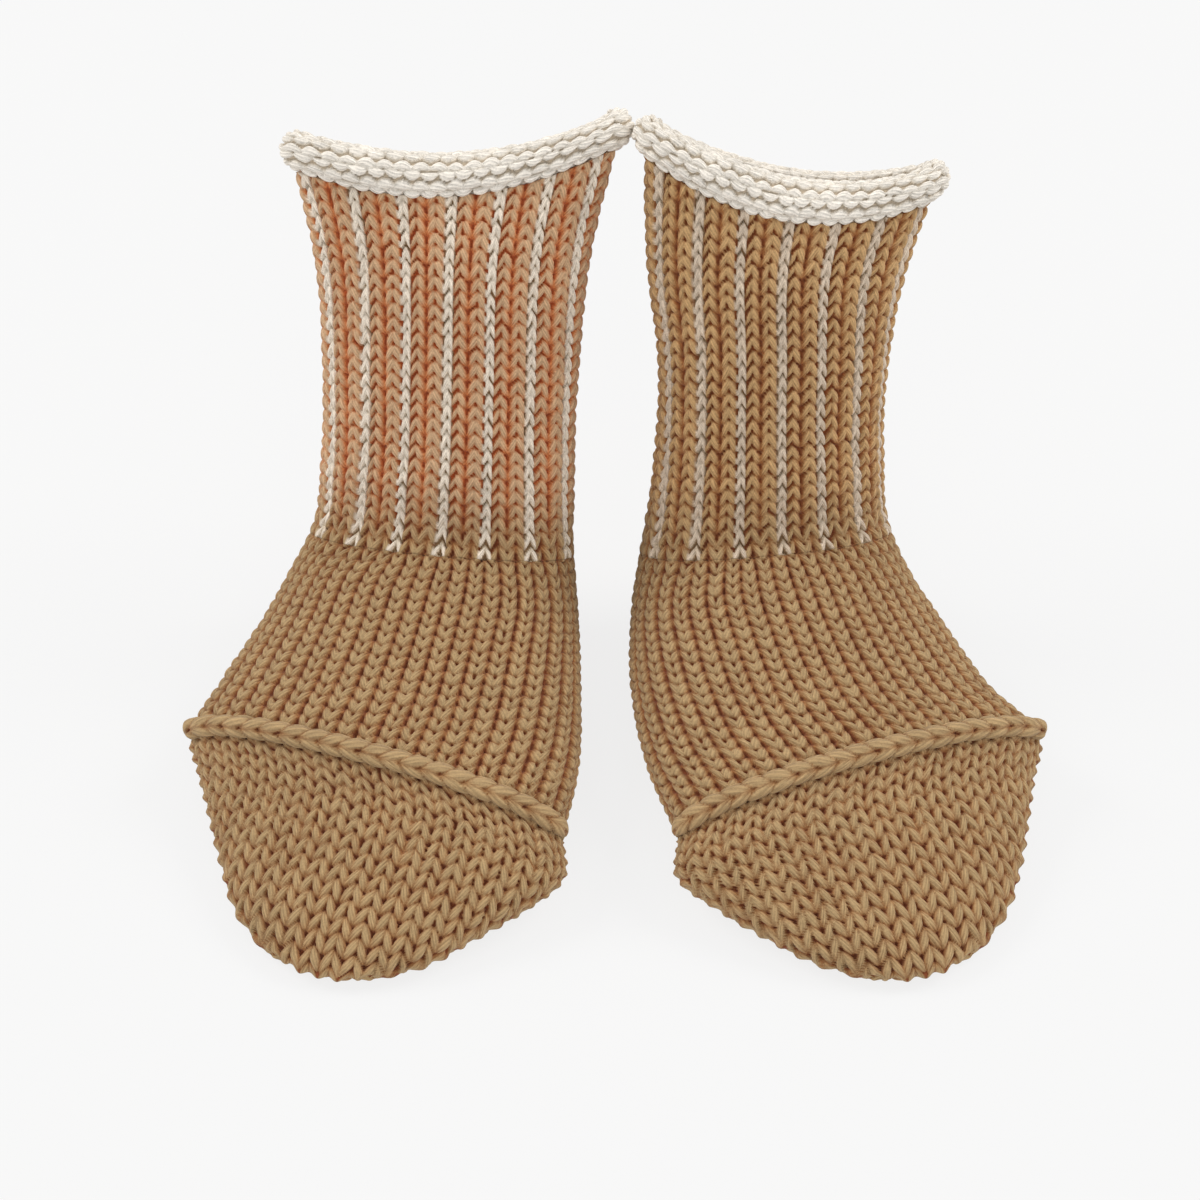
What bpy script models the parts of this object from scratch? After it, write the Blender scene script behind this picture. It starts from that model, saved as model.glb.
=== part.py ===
"""A pair of thick knitted baby socks that stand on their soles, toes forward (-Y) and turned outwards.

Each sock is a hollow tube with one wall: a rolled cuff, a ribbed leg that leans back, a foot with its
heel, and a toe pocket that is linked to the foot by a raised seam across the top of the toes.
Every wall is lofted through the rings of a short station table. A ring is a rounded oval that is given by
its front point, its back point, its half width and how far it is turned; the sole is cut flat at the floor.
Sizes in the tables and constants are in millimetres, the meshes in metres.
"""

import bpy
import numpy as np

MM = 0.001

# Middle of the pair on the floor, in the tables' own x and y
PAIR_MIDDLE = (0.27, -17.08, 0.0)

# Wall and seams
WALL = 2.0
PIECE_GAP = 0.3

# Rolled cuff: a roll that stands on the top edge of the leg. Towards the front it is taller and hangs
# lower, and the leg's edge dips to make room for it. Its outward direction is read a hair below the rim.
ROLL_RADIUS = 2.8
ROLL_RISE = 3.65
ROLL_OUT = -0.8
FRONT_TALLER = 0.8
FRONT_LOWER = 0.65
FRONT_DIP = 1.1
ROLL_SIDES = 8
ROLL_RINGS = 42
NEAR_RIM = 0.02

# Columns of every ring: three to a stripe, placed by their share of it from the middle of the cream wale.
# On the leg the narrow cream wales lie lower than the pairs of tan ones, all the way down to the last row.
STRIPES = 14
COLUMN_SHARES = (0.0, 0.24, 0.76)
RIB_PROFILE = (-0.6, 0.0, 0.0)
RING_POINTS = STRIPES * len(COLUMN_SHARES)
SHARES = np.array([(stripe + share) / STRIPES for stripe in range(STRIPES) for share in COLUMN_SHARES])
RIBS = np.tile(RIB_PROFILE, STRIPES)

# Seam across the toes: a plump chain of links in a channel between foot and toe pocket. Its reach and the
# channel's fade are degrees round the ring, counted from the top.
CHAIN_RADIUS = 1.6
CHAIN_SWELL = 0.16
CHAIN_OUT = 0.6
CHAIN_CHANNEL = 2.1
CHAIN_LINKS = 20
RINGS_PER_LINK = 4
CHAIN_SIDES = 6
CHAIN_REACH = 84.0
CHAIN_END = 0.35
CHANNEL_FADE = 14.0

# Rings of each wall, and how far short of the tip the two layers of the toe part
LEG_ROWS = 8
LEG_INNER_ROWS = 5
FOOT_ROWS = 12
FOOT_INNER_ROWS = 9
TOE_ROWS = 9
TOE_INNER_ROWS = 6
TOE_FOLD = 10.5

# Points that measure a girth, and the small step of place or angle that gives a slope
MEASURED_POINTS = 240
SMALL = 0.01

# Stations from the top of the leg to the tip of the toes. x: middle of the ring; front and back: the points
# of the ring on the shin or instep and on the calf, heel or sole; half: half width; turn: degrees outwards;
# lift: how much higher the inner side stands; rise: how far both sides rise above the middle; full: 2 is an
# ellipse and more is fuller.
COLUMNS = ("x", "front_y", "front_z", "back_y", "back_z", "half", "turn", "lift", "rise", "full")
LEFT_STATIONS = {
    "rim":   (-25.8, 24.0, 82.0, 34.9, 72.7, 26.2, -2.0, 1.5, 7.4, 2.00),
    "upper": (-26.5, 18.0, 74.8, 31.0, 67.4, 23.4, 0.0, 1.0, 2.2, 2.10),
    "mid":   (-27.5, 9.0, 57.3, 25.0, 48.7, 21.6, 2.0, 0.0, 0.0, 2.20),
    "lower": (-28.5, 0.5, 40.8, 20.9, 30.2, 21.8, 5.0, 0.0, 0.0, 2.20),
    "ankle": (-30.0, -5.0, 28.7, 20.0, 13.5, 23.3, 8.0, 0.0, 0.0, 2.30),
    "heel":  (-31.5, -11.0, 27.0, 17.0, 2.5, 25.6, 10.5, 0.0, 0.0, 2.30),
    "arch":  (-33.2, -19.0, 24.8, 1.0, -1.0, 28.2, 13.0, 0.0, 0.0, 2.30),
    "ball":  (-36.2, -31.0, 21.5, -22.0, -1.5, 31.8, 17.5, 0.0, 0.0, 2.25),
    "seam":  (-39.4, -41.5, 18.3, -37.5, -1.5, 33.1, 19.8, 0.0, 0.0, 2.15),
    "cap":   (-38.2, -49.0, 15.5, -45.0, -1.5, 31.8, 19.8, 0.0, 0.0, 2.15),
    "toes":  (-39.9, -55.5, 12.5, -51.5, -1.5, 27.3, 19.8, 0.0, 0.0, 2.15),
    "point": (-42.6, -62.5, 9.0, -59.0, -1.2, 21.2, 19.5, 0.0, 0.0, 2.15),
    "tip":   (-44.6, -68.8, 6.0, -66.3, -0.8, 14.8, 18.0, 0.0, 0.0, 2.15),
    "end":   (-45.4, -71.8, 4.2, -70.8, 0.2, 9.0, 16.0, 0.0, 0.0, 2.15),
}
RIGHT_STATIONS = {
    "rim":   (28.6, 20.0, 79.7, 34.6, 72.9, 23.5, -2.0, 3.7, 6.5, 2.00),
    "upper": (27.3, 15.0, 73.0, 31.2, 65.6, 21.8, 0.0, 1.8, 2.2, 2.10),
    "mid":   (27.2, 8.0, 58.0, 27.4, 48.6, 19.4, 2.0, 0.0, 0.0, 2.20),
    "lower": (26.9, 0.5, 40.9, 23.4, 29.7, 19.9, 5.0, 0.0, 0.0, 2.20),
    "ankle": (27.0, -5.0, 28.7, 21.0, 13.5, 22.2, 8.0, 0.0, 0.0, 2.30),
    "heel":  (27.9, -11.0, 27.0, 17.0, 2.5, 24.7, 10.5, 0.0, 0.0, 2.30),
    "arch":  (30.0, -19.0, 24.8, 1.0, -1.0, 27.6, 13.0, 0.0, 0.0, 2.30),
    "ball":  (34.9, -32.0, 21.5, -23.0, -1.5, 30.4, 16.5, 0.0, 0.0, 2.25),
    "seam":  (40.7, -41.5, 18.3, -37.5, -1.5, 32.3, 19.8, 0.0, 0.0, 2.15),
    "cap":   (39.8, -49.0, 15.5, -45.0, -1.5, 31.3, 19.8, 0.0, 0.0, 2.15),
    "toes":  (41.9, -55.5, 12.5, -51.5, -1.5, 27.0, 19.5, 0.0, 0.0, 2.15),
    "point": (44.8, -62.5, 9.0, -59.0, -1.2, 21.3, 19.0, 0.0, 0.0, 2.15),
    "tip":   (47.0, -68.8, 6.0, -66.3, -0.8, 14.6, 17.5, 0.0, 0.0, 2.15),
    "end":   (47.8, -71.8, 4.2, -70.8, 0.2, 9.0, 16.0, 0.0, 0.0, 2.15),
}

# Colour, roughness of each finish
FINISHES = {
    "cream_knit": ((0.80, 0.74, 0.66, 1.0), 0.9),
    "striped_knit": ((0.50, 0.31, 0.17, 1.0), 0.9),
    "tan_knit": ((0.45, 0.29, 0.15, 1.0), 0.9),
}


def smooth_through(knots, values, at):
    """A smooth curve through the values at the knots: a cubic between each two, whose slopes at the knots
    come from the neighbours on both sides."""
    slopes = np.gradient(values, knots)
    i = np.clip(np.searchsorted(knots, at) - 1, 0, len(knots) - 2)
    step = knots[i + 1] - knots[i]
    t = (at - knots[i]) / step
    start = (1 + 2 * t) * (1 - t) ** 2 * values[i] + t * (1 - t) ** 2 * step * slopes[i]
    end = t**2 * (3 - 2 * t) * values[i + 1] + t**2 * (t - 1) * step * slopes[i + 1]
    return start + end


def unit(vectors):
    return vectors / np.linalg.norm(vectors, axis=-1, keepdims=True)


class Sock:
    """The form of one sock. Its stations are placed along the length of the front line, from the rim down
    the shin and the instep to the tip of the toes."""

    def __init__(self, name, stations, outwards):
        self.name = name
        self.outwards = outwards
        rows = np.array(list(stations.values()))
        self.values = dict(zip(COLUMNS, rows.T))
        front = rows[:, 1:3]
        steps = np.linalg.norm(np.diff(front, axis=0), axis=1)
        self.knots = np.concatenate([[0.0], np.cumsum(steps)])
        self.at = dict(zip(stations, self.knots))

    def column(self, name, along):
        return smooth_through(self.knots, self.values[name], along)

    def surface(self, along, angle, inset=0.0):
        """Points of the wall, `inset` inside its outer face. Each ring is a superellipse: the middle, plus
        the half depth times cos^(2/full), plus the half width times sin^(2/full). Angle 0 is the front and
        90 degrees the image's right. What would lie below the floor is laid flat on it."""
        along, angle = np.broadcast_arrays(along, angle)
        zero = np.zeros(along.shape)
        x = self.column("x", along)
        front = np.stack([x, self.column("front_y", along), self.column("front_z", along)], -1)
        back = np.stack([x, self.column("back_y", along), self.column("back_z", along)], -1)
        half = self.column("half", along)
        turn = np.radians(self.column("turn", along)) * self.outwards
        tilt = -self.outwards * self.column("lift", along) / half
        side = np.stack([np.cos(turn), np.sin(turn), tilt], -1)
        depth = (front - back) / 2
        depth_length = np.linalg.norm(depth, axis=-1)
        power = 2 / self.column("full", along)
        ahead = np.sign(np.cos(angle)) * np.abs(np.cos(angle)) ** power
        aside = np.sign(np.sin(angle)) * np.abs(np.sin(angle)) ** power
        points = (front + back) / 2
        points = points + (ahead * (1 - inset / depth_length))[..., None] * depth
        points = points + (aside * (half - inset))[..., None] * side
        points = points + np.stack([zero, zero, self.column("rise", along) * aside**2], -1)
        points[..., 2] = np.maximum(points[..., 2], inset)
        return points

    def angles(self, along, shares):
        """For each row of places, the angles whose points lie at these shares of the ring's girth,
        counted from the front."""
        turns = np.linspace(-np.pi, np.pi, MEASURED_POINTS + 1)
        middles = along.mean(axis=1)
        rings = self.surface(middles[:, None], turns[None, :])
        lengths = np.linalg.norm(np.diff(rings, axis=1), axis=-1)
        girth = np.concatenate([np.zeros((len(middles), 1)), np.cumsum(lengths, axis=1)], axis=1)
        signed = shares - np.floor(shares + 0.5)
        wanted = signed[None, :] * girth[:, -1:] + girth[:, MEASURED_POINTS // 2, None]
        return np.array([np.interp(w, g, turns) for w, g in zip(wanted, girth)])

    def outward(self, along, angle):
        """Unit vectors that point out of the wall, square to its girth and to its length."""
        around = self.surface(along, angle + SMALL) - self.surface(along, angle - SMALL)
        down = self.surface(along + SMALL, angle) - self.surface(along - SMALL, angle)
        return unit(np.cross(down, around))

    def beside(self, station, shares, distance):
        """Places on the wall at a signed distance from a station's ring, one for each share of its girth."""
        at = np.full((1, len(shares)), self.at[station])
        angle = self.angles(at, shares)
        step = self.surface(at + SMALL, angle) - self.surface(at - SMALL, angle)
        return (at + distance * 2 * SMALL / np.linalg.norm(step, axis=-1))[0]


def ring_faces(rings, count, closed_path):
    """Quads between neighbouring rings of `count` points, and between the last and first if closed."""
    faces = []
    for row in range(rings if closed_path else rings - 1):
        here = row * count
        following = (row + 1) % rings * count
        for i in range(count):
            j = (i + 1) % count
            faces.append((here + i, following + i, following + j, here + j))
    return faces


def add_piece(name, points, faces, finish):
    """An object in metres, about the middle of the pair, from points in millimetres. Smooth shaded."""
    mesh = bpy.data.meshes.new(name)
    mesh.from_pydata(((points.reshape(-1, 3) - PAIR_MIDDLE) * MM).tolist(), [], faces)
    mesh.update()
    mesh.shade_smooth()
    mesh.materials.append(bpy.data.materials[finish])
    piece = bpy.data.objects.new(name, mesh)
    bpy.context.scene.collection.objects.link(piece)


def spread(first, last, rows):
    """Rows of places from one edge to the other. Each edge is an array round the ring."""
    t = np.linspace(0, 1, rows)[:, None]
    return first * (1 - t) + last * t


def wall_points(sock, first, last, outer_rows, inner_rows, inner_last=None, proud=0.0):
    """The rings of a wall: its outer face from the first edge to the last, then its inner face back, which
    ends at `inner_last` if it is shorter. `proud` raises the outer points."""
    outer_along = spread(first, last, outer_rows)
    inner_along = spread(first, last if inner_last is None else inner_last, inner_rows)
    outer_angle = sock.angles(outer_along, SHARES)
    outer = sock.surface(outer_along, outer_angle)
    raised = np.broadcast_to(proud, outer_along.shape)[..., None]
    outer = outer + raised * sock.outward(outer_along, outer_angle)
    inner = sock.surface(inner_along, sock.angles(inner_along, SHARES), WALL)
    return np.concatenate([outer, inner[::-1]])


def cord_points(middle, first, second, sides):
    """Rings of points around a path: its middle, plus an oval on two vectors, which are its radii."""
    turns = np.arange(sides) * 2 * np.pi / sides
    oval = np.cos(turns)[None, :, None] * first[:, None] + np.sin(turns)[None, :, None] * second[:, None]
    return middle[:, None] + oval


def frontness(angle):
    """1 at the front of a ring, a quarter at its sides and 0 at its back."""
    return ((1 + np.cos(angle)) / 2) ** 2


def make_cuff(sock):
    """The rolled cuff: a roll carried along the rim, just above the leg's edge."""
    shares = np.arange(ROLL_RINGS) / ROLL_RINGS
    angle = sock.angles(np.zeros((1, ROLL_RINGS)), shares)[0]
    rim = sock.surface(0.0, angle)
    out = sock.outward(np.full(ROLL_RINGS, NEAR_RIM), angle)
    up = unit(rim - sock.surface(ROLL_RISE, angle))
    front = frontness(angle)[:, None]
    middle = rim + ROLL_OUT * out + (ROLL_RISE - FRONT_LOWER * front) * up
    points = cord_points(middle, ROLL_RADIUS * out, (ROLL_RADIUS + FRONT_TALLER * front) * up, ROLL_SIDES)
    add_piece(sock.name + "_cuff", points, ring_faces(ROLL_RINGS, ROLL_SIDES, True), "cream_knit")


def make_leg(sock):
    """The ribbed leg, open at both ends. Its top edge dips under the front of the cuff."""
    top = FRONT_DIP * frontness(sock.angles(np.zeros((1, RING_POINTS)), SHARES)[0])
    ankle = sock.beside("ankle", SHARES, -PIECE_GAP / 2)
    ribs = np.tile(RIBS, (LEG_ROWS, 1))
    ribs[-1] = 0
    points = wall_points(sock, top, ankle, LEG_ROWS, LEG_INNER_ROWS, proud=ribs)
    faces = ring_faces(LEG_ROWS + LEG_INNER_ROWS, RING_POINTS, True)
    add_piece(sock.name + "_leg", points, faces, "striped_knit")


def channel(sock):
    """Half the gap at the toe seam for each column: wide where the chain lies across the top, and closing
    to the plain gap on the sole."""
    angle = sock.angles(np.full((1, RING_POINTS), sock.at["seam"]), SHARES)[0]
    beyond = np.radians(CHAIN_REACH + CHANNEL_FADE) - np.abs(angle)
    share = np.clip(beyond / np.radians(CHANNEL_FADE), 0, 1)
    return PIECE_GAP / 2 + (CHAIN_CHANNEL - PIECE_GAP / 2) * share


def make_foot(sock):
    """The foot with its heel, open at the ankle and at the toe seam."""
    ankle = sock.beside("ankle", SHARES, PIECE_GAP / 2)
    edge = sock.beside("seam", SHARES, -channel(sock))
    points = wall_points(sock, ankle, edge, FOOT_ROWS, FOOT_INNER_ROWS)
    faces = ring_faces(FOOT_ROWS + FOOT_INNER_ROWS, RING_POINTS, True)
    add_piece(sock.name + "_foot", points, faces, "tan_knit")


def make_toe(sock):
    """The toe pocket: open at the seam, its tip a flat fold. Outer and inner faces each close in a point."""
    edge = sock.beside("seam", SHARES, channel(sock))
    tip = np.full(RING_POINTS, sock.at["end"])
    points = wall_points(sock, edge, tip, TOE_ROWS, TOE_INNER_ROWS, inner_last=tip - TOE_FOLD)
    last_outer = (TOE_ROWS - 1) * RING_POINTS
    first_inner = TOE_ROWS * RING_POINTS
    faces = [f for f in ring_faces(len(points), RING_POINTS, True) if f[0] // RING_POINTS != TOE_ROWS - 1]
    outer_point = len(points) * RING_POINTS
    for i in range(RING_POINTS):
        j = (i + 1) % RING_POINTS
        faces.append((last_outer + j, last_outer + i, outer_point))
        faces.append((first_inner + i, first_inner + j, outer_point + 1))
    closing = [points[TOE_ROWS - 1].mean(axis=0), points[TOE_ROWS].mean(axis=0)]
    add_piece(sock.name + "_toe", np.concatenate([points.reshape(-1, 3), closing]), faces, "tan_knit")


def make_toe_seam(sock):
    """The chain across the toes: a round cord with one swelling for each link, narrowed at both ends, that
    lies in the channel between foot and toe pocket. Its rings are even along the girth of the foot."""
    rings = CHAIN_LINKS * RINGS_PER_LINK + 1
    reach = np.radians(CHAIN_REACH)
    turns = np.linspace(-reach, reach, MEASURED_POINTS)
    steps = np.linalg.norm(np.diff(sock.surface(sock.at["seam"], turns), axis=0), axis=1)
    girth = np.concatenate([[0.0], np.cumsum(steps)])
    angle = np.interp(np.linspace(0, girth[-1], rings), girth, turns)
    out = sock.outward(np.full(rings, sock.at["seam"]), angle)
    middle = sock.surface(sock.at["seam"], angle) + CHAIN_OUT * out
    across = np.cross(out, unit(np.gradient(middle, axis=0)))
    share = np.linspace(0, 1, rings)
    swell = 1 - CHAIN_SWELL * np.cos(2 * np.pi * CHAIN_LINKS * share)
    from_end = np.minimum(share, 1 - share) * CHAIN_LINKS
    radius = (CHAIN_RADIUS * swell * np.clip(CHAIN_END + from_end, 0, 1))[:, None]
    points = cord_points(middle, radius * out, radius * across, CHAIN_SIDES)
    faces = ring_faces(rings, CHAIN_SIDES, False)
    faces.append(tuple(range(CHAIN_SIDES)))
    faces.append(tuple(reversed(range((rings - 1) * CHAIN_SIDES, rings * CHAIN_SIDES))))
    add_piece(sock.name + "_toe_seam", points, faces, "tan_knit")


def make_finishes():
    for name, (colour, roughness) in FINISHES.items():
        material = bpy.data.materials.new(name)
        material.use_nodes = True
        shader = material.node_tree.nodes["Principled BSDF"]
        shader.inputs["Base Color"].default_value = colour
        shader.inputs["Roughness"].default_value = roughness
        shader.inputs["Metallic"].default_value = 0.0


def main():
    for old in list(bpy.data.objects):
        bpy.data.objects.remove(old)
    make_finishes()
    for sock in (Sock("left", LEFT_STATIONS, -1), Sock("right", RIGHT_STATIONS, 1)):
        make_cuff(sock)
        make_leg(sock)
        make_foot(sock)
        make_toe(sock)
        make_toe_seam(sock)


main()
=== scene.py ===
"""Looks of a pair of thick knitted baby socks: every stitch is raised in the cloth, on the form of its
solid.

The socks stand on their soles with toes forward (-Y). Each has a rolled cuff with its purl side out, a leg
in tan and cream stripes, a plain foot, a raised chain seam and a toe pocket. Tables and lengths are in
millimetres, and meshes and lights in metres.
"""

import bpy
import numpy as np
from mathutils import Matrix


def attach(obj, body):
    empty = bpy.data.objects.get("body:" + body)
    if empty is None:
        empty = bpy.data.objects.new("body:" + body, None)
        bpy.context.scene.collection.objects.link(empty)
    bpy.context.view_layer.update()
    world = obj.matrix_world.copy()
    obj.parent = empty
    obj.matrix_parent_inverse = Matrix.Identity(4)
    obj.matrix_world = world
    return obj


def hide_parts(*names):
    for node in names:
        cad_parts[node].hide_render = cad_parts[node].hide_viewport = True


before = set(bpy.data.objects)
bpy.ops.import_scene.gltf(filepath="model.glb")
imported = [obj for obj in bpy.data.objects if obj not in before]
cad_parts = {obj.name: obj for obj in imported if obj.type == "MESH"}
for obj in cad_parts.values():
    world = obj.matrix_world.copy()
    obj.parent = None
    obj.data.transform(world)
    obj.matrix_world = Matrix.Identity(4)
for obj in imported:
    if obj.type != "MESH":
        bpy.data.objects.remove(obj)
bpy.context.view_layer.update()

MM = 0.001

# Point of the tables that lies at the origin of the frame, under the middle of the pair
PAIR_MIDDLE = np.array((0.27, -17.08, 0.0))
IMAGE_SIDE = 1200

# Camera of the photograph: the point it looks at, how steeply it looks down, its distance and its lens
AIM = np.array((-2.47, 5.08, 25.0))
ELEVATION = 42.0
DISTANCE = 380.0
FOCAL_PIXELS = 2261.0
SENSOR = 36.0
NEAR_CLIP = 0.01

# Wall, and the gap between two pieces of knit
WALL = 2.0
EDGE_GAP = 0.05

# Rolled cuff: its radius, how far its middle stands above the rim and out of it, how much taller and lower
# it is in front, how far the edge of the leg dips there, and where its outward direction is taken
ROLL_RADIUS = 2.65
ROLL_RISE = 3.65
ROLL_OUT = -0.8
FRONT_TALLER = 0.8
FRONT_LOWER = 0.65
FRONT_DIP = 0.5
NEAR_RIM = 0.02

# Toe seam: radius of the chain and how far its middle stands out, the channels that foot and toe pocket leave
# for it, its links, its reach to each side in degrees, how wide its ends are, and the degrees over which the
# channels close
CHAIN_RADIUS = 1.5
CHAIN_OUT = 0.6
FOOT_CHANNEL = 1.3
TOE_CHANNEL = 1.0
CHAIN_LINKS = 20
CHAIN_REACH = 84.0
CHAIN_END = 0.35
CHANNEL_FADE = 14.0

# Gauge of the knit: stitches round the sock, and the size of a stitch on each piece
STRIPES = 14
WALES = 3 * STRIPES
LEG_ROW = 2.36
FOOT_ROW = 2.24
TOE_ROW = 2.2
TOE_ROW_GROWTH = 0.018
TOE_WALE = 3.5
CREAM_SHARE = 0.114
LEG_WHOLE_ROWS = 25
LEG_GIRTH = 105.0
CUFF_ROWS = 13
CUFF_START = -105.0
CHAIN_WALE = 4.4
CHAIN_TURN = -30.0

# Tip of the toe pocket: how far the cap reaches, how much narrower it gets, how sharply its ends fall back,
# and how many rows back its direction is taken. Knobs of the short-row edge: their reach to each side, mean
# height and swing. Fold: how far the inner face turns back before the tip
CAP_LENGTH = 1.9
CAP_ROUND = 0.12
CAP_POWER = 4
CAP_FROM_ROW = 9
KNOB_REACH = 0.9
KNOB_BASE = 0.25
KNOB_HEIGHT = 0.38
TOE_FOLD = 10.5

# Fineness of the meshes: points across a stitch or round a form, rows along it, and the angles of the first
# and last row of the cap
FINE = 8
LEG_ROWS = 210
FOOT_ROWS = 232
TOE_ROWS = 118
INNER_ROWS = 12
CUFF_FINE = 9
CUFF_SIDES = 72
CHAIN_FINE = 14
CHAIN_SIDES = 30
CAP_ROWS = 14
CAP_FIRST, CAP_LAST = 7.0, 86.0
MEASURED_POINTS = 240
SMALL = 0.01

# Stations from the top of the leg to the tip of the toes. x: middle of the ring; front and back: the points
# of the ring on the shin or instep and on the calf, heel or sole; half: half width; turn: degrees outwards;
# lift: how much higher the inner side stands; rise: how far both sides rise above the middle; full: 2 is an
# ellipse and more is fuller.
COLUMNS = ("x", "front_y", "front_z", "back_y", "back_z", "half", "turn", "lift", "rise", "full")
LEFT_STATIONS = {
    "rim":   (-25.8, 24.0, 82.0, 34.9, 72.7, 26.2, -2.0, 1.5, 7.4, 2.00),
    "upper": (-26.5, 18.0, 74.8, 31.0, 67.4, 23.4, 0.0, 1.0, 2.2, 2.10),
    "mid":   (-27.5, 9.0, 57.3, 25.0, 48.7, 21.6, 2.0, 0.0, 0.0, 2.20),
    "lower": (-28.5, 0.5, 40.8, 20.9, 30.2, 21.8, 5.0, 0.0, 0.0, 2.20),
    "ankle": (-30.0, -5.0, 28.7, 20.0, 13.5, 23.3, 8.0, 0.0, 0.0, 2.30),
    "heel":  (-31.5, -11.0, 27.0, 17.0, 2.5, 25.6, 10.5, 0.0, 0.0, 2.30),
    "arch":  (-33.2, -19.0, 24.8, 1.0, -1.0, 28.2, 13.0, 0.0, 0.0, 2.30),
    "ball":  (-36.2, -31.0, 21.5, -22.0, -1.5, 31.8, 17.5, 0.0, 0.0, 2.25),
    "seam":  (-39.4, -41.5, 18.3, -37.5, -1.5, 33.1, 19.8, 0.0, 0.0, 2.15),
    "cap":   (-38.2, -49.0, 15.5, -45.0, -1.5, 31.8, 19.8, 0.0, 0.0, 2.15),
    "toes":  (-39.9, -55.5, 12.5, -51.5, -1.5, 27.3, 19.8, 0.0, 0.0, 2.15),
    "point": (-42.6, -62.5, 9.0, -59.0, -1.2, 21.2, 19.5, 0.0, 0.0, 2.15),
    "tip":   (-44.6, -68.8, 6.0, -66.3, -0.8, 14.8, 18.0, 0.0, 0.0, 2.15),
    "end":   (-45.4, -71.8, 4.2, -70.8, 0.2, 9.0, 16.0, 0.0, 0.0, 2.15),
}
RIGHT_STATIONS = {
    "rim":   (28.6, 20.0, 79.7, 34.6, 72.9, 23.5, -2.0, 3.7, 6.5, 2.00),
    "upper": (27.3, 15.0, 73.0, 31.2, 65.6, 21.8, 0.0, 1.8, 2.2, 2.10),
    "mid":   (27.2, 8.0, 58.0, 27.4, 48.6, 19.4, 2.0, 0.0, 0.0, 2.20),
    "lower": (26.9, 0.5, 40.9, 23.4, 29.7, 19.9, 5.0, 0.0, 0.0, 2.20),
    "ankle": (27.0, -5.0, 28.7, 21.0, 13.5, 22.2, 8.0, 0.0, 0.0, 2.30),
    "heel":  (27.9, -11.0, 27.0, 17.0, 2.5, 24.7, 10.5, 0.0, 0.0, 2.30),
    "arch":  (30.0, -19.0, 24.8, 1.0, -1.0, 27.6, 13.0, 0.0, 0.0, 2.30),
    "ball":  (34.9, -32.0, 21.5, -23.0, -1.5, 30.4, 16.5, 0.0, 0.0, 2.25),
    "seam":  (40.7, -41.5, 18.3, -37.5, -1.5, 32.3, 19.8, 0.0, 0.0, 2.15),
    "cap":   (39.8, -49.0, 15.5, -45.0, -1.5, 31.3, 19.8, 0.0, 0.0, 2.15),
    "toes":  (41.9, -55.5, 12.5, -51.5, -1.5, 27.0, 19.5, 0.0, 0.0, 2.15),
    "point": (44.8, -62.5, 9.0, -59.0, -1.2, 21.3, 19.0, 0.0, 0.0, 2.15),
    "tip":   (47.0, -68.8, 6.0, -66.3, -0.8, 14.6, 17.5, 0.0, 0.0, 2.15),
    "end":   (47.8, -71.8, 4.2, -70.8, 0.2, 9.0, 16.0, 0.0, 0.0, 2.15),
}

# Colours of the yarn in a hole, in a crease and on a ridge, as linear light, and the depths they belong to.
# The darker, redder hole and crease colours are painted shade. The right sock's leg and stripes are given
# darker colours than the left sock's, and both legs lighter, warmer ones than the foot.
TAN_YARN_AND_PAINTED_SHADE = ((0.220, 0.060, 0.020, 1.0), (0.295, 0.130, 0.044, 1.0), (0.400, 0.268, 0.132, 1.0))
LEFT_LEG_YARN_AND_PAINTED_SHADE = ((0.460, 0.100, 0.028, 1.0), (0.580, 0.200, 0.068, 1.0), (0.550, 0.350, 0.200, 1.0))
RIGHT_LEG_YARN_AND_PAINTED_SHADE = ((0.280, 0.080, 0.024, 1.0), (0.360, 0.150, 0.048, 1.0), (0.495, 0.305, 0.138, 1.0))
LEFT_STRIPE_YARN_AND_PAINTED_SHADE = ((0.330, 0.200, 0.100, 1.0), (0.560, 0.440, 0.300, 1.0), (0.790, 0.690, 0.570, 1.0))
RIGHT_STRIPE_YARN_AND_PAINTED_SHADE = ((0.330, 0.200, 0.100, 1.0), (0.500, 0.390, 0.265, 1.0), (0.640, 0.520, 0.400, 1.0))
CUFF_YARN_AND_PAINTED_SHADE = ((0.540, 0.450, 0.340, 1.0), (0.760, 0.685, 0.580, 1.0), (0.815, 0.760, 0.680, 1.0))
TAN_LEVELS = (0.06, 0.40, 0.84)
CREAM_LEVELS = (0.04, 0.32, 0.74)

# Finish of the yarn. Noise: the twisted plies of a strand, its fuzz, and slow clouds of tone. Ply grain: how
# the noise is squeezed across and drawn out along a strand. Twist: turns of the plies. Then how much of each
# goes into the depth that picks the colour and its painted shade, into its light, and into the bump. In its
# light, plies, twist and fuzz are partly uneven tone of the yarn and partly painted highlights and shade
# between the plies; clouds and luck are uneven tone.
PLY_NOISE = {"Scale": 1.6, "Detail": 2.0, "Roughness": 0.55}
FUZZ_NOISE = {"Scale": 3000.0, "Detail": 3.0, "Roughness": 0.65}
CLOUD_NOISE = {"Scale": 60.0, "Detail": 2.0, "Roughness": 0.5}
PLY_GRAIN = {"across": 3.6, "slant": 0.5, "along": 0.55, "luck": 37}
TWIST = {"across": 11.0, "along": 3.2, "luck": 20.0, "plies": 4.0}
IN_DEPTH = {"plies": 0.30, "fuzz": 0.16, "twist": 0.035}
IN_TONE_AND_PAINTED_LIGHT = {"plies": 0.90, "twist": 0.12, "fuzz": 0.62, "cloud": 0.18, "luck": 0.05}
IN_BUMP = {"plies": 0.5, "fuzz": 0.5, "twist": 0.16}
BUMP_STRENGTH, BUMP_DEPTH = 0.5, 0.0005
YARN_ROUGHNESS, YARN_SHINE = 0.92, 0.2
YARN_SHEEN, SHEEN_ROUGHNESS = 0.08, 0.6

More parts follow.
